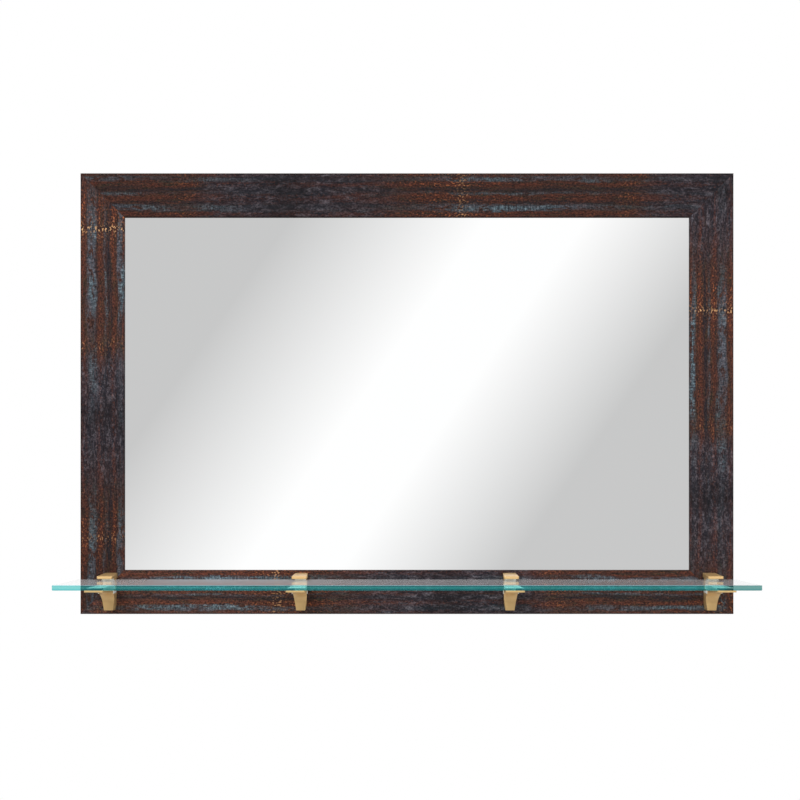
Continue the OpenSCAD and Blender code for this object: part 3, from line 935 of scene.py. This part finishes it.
def shelf_outline(inset):
    """The shelf's outline from above, pulled in by inset, with round corners."""
    left, right = shelf_low.x + inset, shelf_high.x - inset
    front, rear = shelf_low.y + inset, shelf_high.y - inset
    r = SHELF_CORNER_R - inset
    corners = ((right - r, rear - r), (left + r, rear - r), (left + r, front + r), (right - r, front + r))
    points = []
    for quarter, centre in enumerate(corners):
        start, end = 90 * quarter, 90 * quarter + 90
        points += arc(centre, r, start, end, 6) + [on_circle(centre, r, end)]
    return points


def shelf_part(way):
    """Which look a face of the shelf has, from its normal. The rear edge is clear like the top."""
    if way.z < -SQUARE_ON:
        return UNDERSIDE
    return FACE if way.z > SQUARE_ON or way.y > 0.9 else EDGE


def build_shelf():
    """A slab with round corners and a fine polished chamfer round each face."""
    bottom, top = shelf_low.z, shelf_high.z
    rings = ((bottom, ARRIS), (bottom + ARRIS, 0.0), (top - ARRIS, 0.0), (top, ARRIS))
    points = [(x, y, z) for z, inset in rings for x, y in shelf_outline(inset)]
    obj = mesh_object("glass_shelf_polished", points, closed_tube(len(rings), len(points) // len(rings)))
    mend(obj.data)
    smooth(obj.data)
    dress(obj, "shelf", "shelf_glass", glass_face("shelf_glass_face"), glass_edge(),
          glass_face("shelf_glass_underside", clear_of_pads), replaces=["glass_shelf"])
    for polygon in obj.data.polygons:
        polygon.material_index = shelf_part(polygon.normal)


# ---- Brackets ----


def bracket_place(k):
    """The way from a bracket's own coordinates to its place."""
    return Matrix.Translation((bracket_x(k), FRONT_Y, BOTTOM_Z)) @ Matrix.Rotation(math.pi, 4, "Z")


def both_sides(half):
    """An outline from its right half, with the left half mirrored."""
    return half + [(-x, y) for x, y in reversed(half)]


def box_outline(low_x, low_y, high_x, high_y):
    return [(low_x, low_y), (high_x, low_y), (high_x, high_y), (low_x, high_y)]


def arm_side(places, grow=0.0):
    """One side of the arm's outline from above, at the given places along it, moved outward by grow."""
    return [(arm_half_width(y) + grow, y) for y in places]


def arm_slab(places, grow, low, high):
    """A slab from low to high with the arm's outline from above, moved outward by grow."""
    return prism(both_sides(arm_side(places, grow)), "z", low, high)


def leg_front_edge(side, front, at):
    """Whether an edge lies between a side of the leg and its front or the curve over it."""
    return abs(side.x) > FACES and abs(front.x) < 0.2 and front.y > 0.5 and at.z < CHAMFER_END_Z


def jaw_top_edge(side, top, at):
    """Whether an edge lies between a side of the jaw and its top."""
    return abs(side.x) > FACES and top.z > FACES


def bracket_shape():
    """The body without its hollows: its outline from the side, cut to those from above and the front."""
    curve = [(ELBOW_Y + (LEG_D - ELBOW_Y) * math.cos(math.radians(a)),
              CURVE_Z + (ELBOW_Z - CURVE_Z) * math.sin(math.radians(a))) for a in range(0, 91, 5)]
    post_top, leg_z, arm_l = body_high.z, body_low.z, body_high.y
    side = [(0, leg_z), (LEG_D, leg_z)] + curve
    side += [(arm_l, TIP_Z), (arm_l - TIP_LEAN, ARM_Z), (POST_D, ARM_Z), (POST_D, post_top), (0, post_top)]
    plan = both_sides(arm_side([y for y, _ in ARM_WIDTHS]) + [(body_high.x - TIP_CUT, arm_l)])
    flare_hw, flare_z = KEEL_HW + FLARE, ELBOW_Z + KEEL_T + FLARE
    front = both_sides([(LEG_HW, leg_z - MM), (KEEL_HW, ELBOW_Z), (KEEL_HW, ELBOW_Z + KEEL_T),
                        (flare_hw, flare_z), (flare_hw, PAST_Z)])
    obj = prism(side, "x", -PAST_X, PAST_X)
    combine(obj, "INTERSECT", prism(plan, "z", 0, PAST_Z), prism(front, "y", -MM, PAST_Y))
    chamfer_edges(obj, CHAMFER, leg_front_edge)
    round_edges(obj, EDGE_R)
    return obj


def bracket_body_shape():
    """The body with the hollows that take the wall plate, the jaw's stem and the screws."""
    low, high = plate_low.z - PLATE_PLAY, plate_high.z + PLATE_PLAY
    deep, half = plate_high.y + PLATE_PLAY, plate_high.x + PLATE_PLAY
    lip_z = high - HANG_H
    recess = [(-MM, low), (deep, low), (deep, high), (HANG_D, high), (HANG_D, lip_z), (-MM, lip_z)]
    wide, slim = STEM_HW + PLAY, STEM_HALF_D + PLAY
    pocket = box_outline(-wide, SCREW_Y - slim, wide, SCREW_Y + slim)
    obj = bracket_shape()
    combine(obj, "DIFFERENCE", prism(recess, "x", -half, half),
            prism(pocket, "z", jaw_low.z - 2 * PLAY, PAST_Z),
            cylinder((0, SCREW_Y), COUNTERBORE_R, 0, COUNTERBORE_TOP),
            cylinder((0, SCREW_Y), SHANK_R, SHANK_FROM, SHANK_TO),
            cylinder((0, GRUB_Y), GRUB_R, 0, GRUB_TOP))
    return obj


def jaw_shape():
    """A wedge over the glass, with its stem below it."""
    rear, tip, low, high = jaw_low.y, jaw_high.y, jaw_pad_high.z, jaw_high.z
    side = [(rear, low), (tip, low), (tip - TIP_LEAN, low + JAW_TIP_T), (rear, high)]
    plan = both_sides([(JAW_REAR_HW, 0), (jaw_high.x, tip - TIP_CUT), (jaw_high.x - TIP_CUT, tip)])
    obj = prism(side, "x", -PAST_X, PAST_X)
    combine(obj, "INTERSECT", prism(plan, "z", 0, PAST_Z))
    chamfer_edges(obj, CHAMFER, jaw_top_edge)
    round_edges(obj, EDGE_R)
    stem = box_outline(-STEM_HW, SCREW_Y - STEM_HALF_D, STEM_HW, SCREW_Y + STEM_HALF_D)
    combine(obj, "UNION", prism(stem, "z", jaw_low.z, low + MM))
    combine(obj, "DIFFERENCE", cylinder((0, SCREW_Y), STEM_BORE_R, STEM_BORE_FROM, STEM_BORE_TO))
    return obj


def block_pad_shape(low, high):
    obj = prism(box_outline(low.x, low.y, high.x, high.y), "z", low.z, high.z)
    round_edges(obj, BLOCK_PAD_R)
    return obj


def arm_pad_shape():
    """The arm's pad: a strip under the shelf, with a skirt down each side of the arm's root."""
    inset = arm_half_width(arm_pad_high.y) - arm_pad_high.x
    top = arm_pad_high.z
    strip = arm_slab((PAD_START, ELBOW_Y, arm_pad_high.y), -inset, ARM_Z, top)
    wide = arm_slab((PAD_START, SKIRT_END), SKIRT_T, ARM_Z, top)
    skirts = arm_slab((arm_pad_low.y, POST_D, SKIRT_END), SKIRT_T, arm_pad_low.z, ARM_Z)
    arm = arm_slab((0.0, POST_D, ELBOW_Y), 0.0, 0, ARM_Z)
    combine(strip, "UNION", wide, skirts)
    combine(strip, "DIFFERENCE", arm)
    round_edges(strip, ARM_PAD_R)
    return strip


def copies(shape, name, slot, body, look):
    """Sets a copy of a shape at each bracket, and removes the shape. body may hold {} for its number."""
    smooth(shape.data)
    for k in BRACKETS:
        mesh = shape.data.copy()
        mesh.transform(bracket_place(k))
        piece = new_object(f"{name}_{k}_finished", mesh)
        dress(piece, body.format(k), slot, look, replaces=[f"{name}_{k}"])
    bpy.data.objects.remove(shape)


def build_brackets():
    metal, pad = brass(), clear_pad()
    copies(bracket_body_shape(), "bracket_body", "brass", "frame", metal)
    copies(jaw_shape(), "clamp_jaw", "brass", "jaw_{}", metal)
    copies(block_pad_shape(jaw_pad_low, jaw_pad_high), "jaw_pad", "clear_pad", "jaw_{}", pad)
    copies(block_pad_shape(back_pad_low, back_pad_high), "back_pad", "clear_pad", "frame", pad)
    copies(arm_pad_shape(), "arm_pad", "clear_pad", "frame", pad)


# ---- Pieces whose CAD shape stays ----


def paint_cad():
    """Looks for the CAD nodes that no finished piece replaces, all of them steel but three."""
    steel = zinc_steel()
    looks = {"mirror_glass": mirror_silver(), "backing_board": hardboard(), "wall_bumpers": rubber()}
    for node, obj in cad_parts.items():
        if obj.hide_render:
            continue
        obj.data.materials.clear()
        obj.data.materials.append(looks.get(node, steel))
        if node not in ("mirror_glass", "backing_board"):
            smooth(obj.data)


# ---- Stage, light and camera ----

EYE_Z = BOTTOM_Z + 132.6 * MM
EYE_DISTANCE = 1.624
LENS, SENSOR = 59.69, 36
PICTURE = 800
SHIFT_X = -7 / PICTURE
SHIFT_Y = 105.8 / PICTURE

FLOOR_Z = EYE_Z - 1.3
FLOOR_HALF = 2.0
# The floor fades into the background between these distances from the middle
FLOOR_FADES = (0.5, 1.9)
FLOOR_GREYS = (srgb(208, 208, 208), srgb(214, 214, 214))

# Each lamp's place, diameter and watts
LAMPS = {
    "key": ((-1.2, -2.4, 2.2), 2.2, 88),
    "fill": ((2.2, -1.8, 0.3), 2.0, 22),
    "back": ((0.8, 2.4, 1.6), 2.0, 70),
}

# Where the bright band of the room lies in the mirror, as angles (radians) of the reflected ray: the start
# and the end of its left edge, then of its right. It leans by BAND_SLANT and comes again after BAND_REPEAT.
BAND = (-0.235, -0.091, -0.016, 0.109)
BAND_SLANT = 0.7
BAND_REPEAT = 0.75
ROOM_GREY = 0.578
# The light on plain surfaces
AMBIENT = 0.42
# What gloss shows of the room above and below the mirror's view: a level, and where it starts and is full
OVERHEAD, OVERHEAD_FROM = 1.4, (0.24, 0.5)
UNDERFOOT, UNDERFOOT_FROM = 0.7, (-0.08, -0.3)


def room(tree):
    """What gloss shows of the room: a slanting bright band on grey in front, and white at the back."""
    way = put(tree, "SeparateXYZ", {0: put(tree, "TexCoord").outputs["Generated"]})
    x, y, z = (way.outputs[axis] for axis in "XYZ")
    across = calc(tree, "MULTIPLY_ADD", z, -BAND_SLANT, x)
    slope = calc(tree, "ARCTAN2", across, calc(tree, "ABSOLUTE", y))
    turn = calc(tree, "FRACT", calc(tree, "DIVIDE", calc(tree, "SUBTRACT", slope, BAND[0]), BAND_REPEAT))
    levels = (ROOM_GREY, 1.0, 1.0, ROOM_GREY)
    shown = ramp(tree, turn, [((edge - BAND[0]) / BAND_REPEAT, level) for edge, level in zip(BAND, levels)])
    shown = mix(tree, step(tree, y, 0.0, 0.1), shown, WHITE)
    shown = mix(tree, step(tree, z, *OVERHEAD_FROM), shown, grey(OVERHEAD))
    dimmer = mix(tree, 1.0, shown, grey(UNDERFOOT), "MULTIPLY")
    return mix(tree, step(tree, z, *UNDERFOOT_FROM), shown, dimmer)


def build_world():
    """White where the world is seen itself, the room where gloss shows it, and else an even grey light."""
    world = bpy.data.worlds.new("studio")
    bpy.context.scene.world = world
    world.use_nodes = True
    tree = world.node_tree
    tree.nodes.clear()
    path = put(tree, "LightPath")
    seen = calc(tree, "MAXIMUM", path.outputs["Is Camera Ray"], path.outputs["Is Transmission Ray"])
    colour = mix(tree, path.outputs["Is Glossy Ray"], grey(AMBIENT), room(tree))
    background = put(tree, "Background", {"Color": mix(tree, seen, colour, WHITE), "Strength": 1.0})
    put(tree, "OutputWorld", {"Surface": background.outputs[0]})


def build_lamps():
    """Round lamps that face the frame's middle and don't show in gloss."""
    for name, (place, size, watts) in LAMPS.items():
        data = bpy.data.lights.new(name, "AREA")
        data.shape = "DISK"
        data.size = size
        data.energy = watts
        obj = new_object(name, data)
        obj.location = place
        to_middle = Vector((0, FRONT_Y, MID_Z)) - Vector(place)
        obj.rotation_euler = to_middle.to_track_quat("-Z", "Y").to_euler()
        obj.visible_glossy = False


def build_floor():
    """A pale grey floor that fades into the white background before it ends."""
    made = clouded("floor_paint", 3, FLOOR_GREYS, detail=3.0, Roughness=0.8)
    tree = made.node_tree
    _, x, y, _ = place_in(tree)
    path = put(tree, "LightPath")
    solid = calc(tree, "MAXIMUM", path.outputs["Is Diffuse Ray"], path.outputs["Is Shadow Ray"])
    away = put(tree, "VectorMath", {0: vector(tree, x, y, 0.0)}, operation="LENGTH").outputs["Value"]
    fade = times(tree, step(tree, away, *FLOOR_FADES), calc(tree, "SUBTRACT", 1.0, solid))
    paint = tree.nodes["Principled BSDF"].outputs[0]
    whole = blend(tree, fade, paint, see_through(tree, WHITE))
    tree.links.new(whole, tree.nodes["Material Output"].inputs["Surface"])
    outline = box_outline(-FLOOR_HALF, -FLOOR_HALF, FLOOR_HALF, FLOOR_HALF)
    floor = mesh_object("floor", [(a, b, FLOOR_Z) for a, b in outline], [(0, 1, 2, 3)])
    floor.data.materials.append(made)


def build_camera():
    data = bpy.data.cameras.new("camera")
    data.sensor_width = SENSOR
    data.lens = LENS
    data.shift_x = SHIFT_X
    data.shift_y = SHIFT_Y
    camera = new_object("camera", data)
    camera.location = (0, FRONT_Y - EYE_DISTANCE, EYE_Z)
    camera.rotation_euler = (math.radians(90), 0, 0)
    bpy.context.scene.camera = camera


build_camera()
build_world()
build_floor()
build_lamps()
build_frame()
build_shelf()
build_brackets()
paint_cad()
bpy.context.scene.view_settings.view_transform = "Standard"
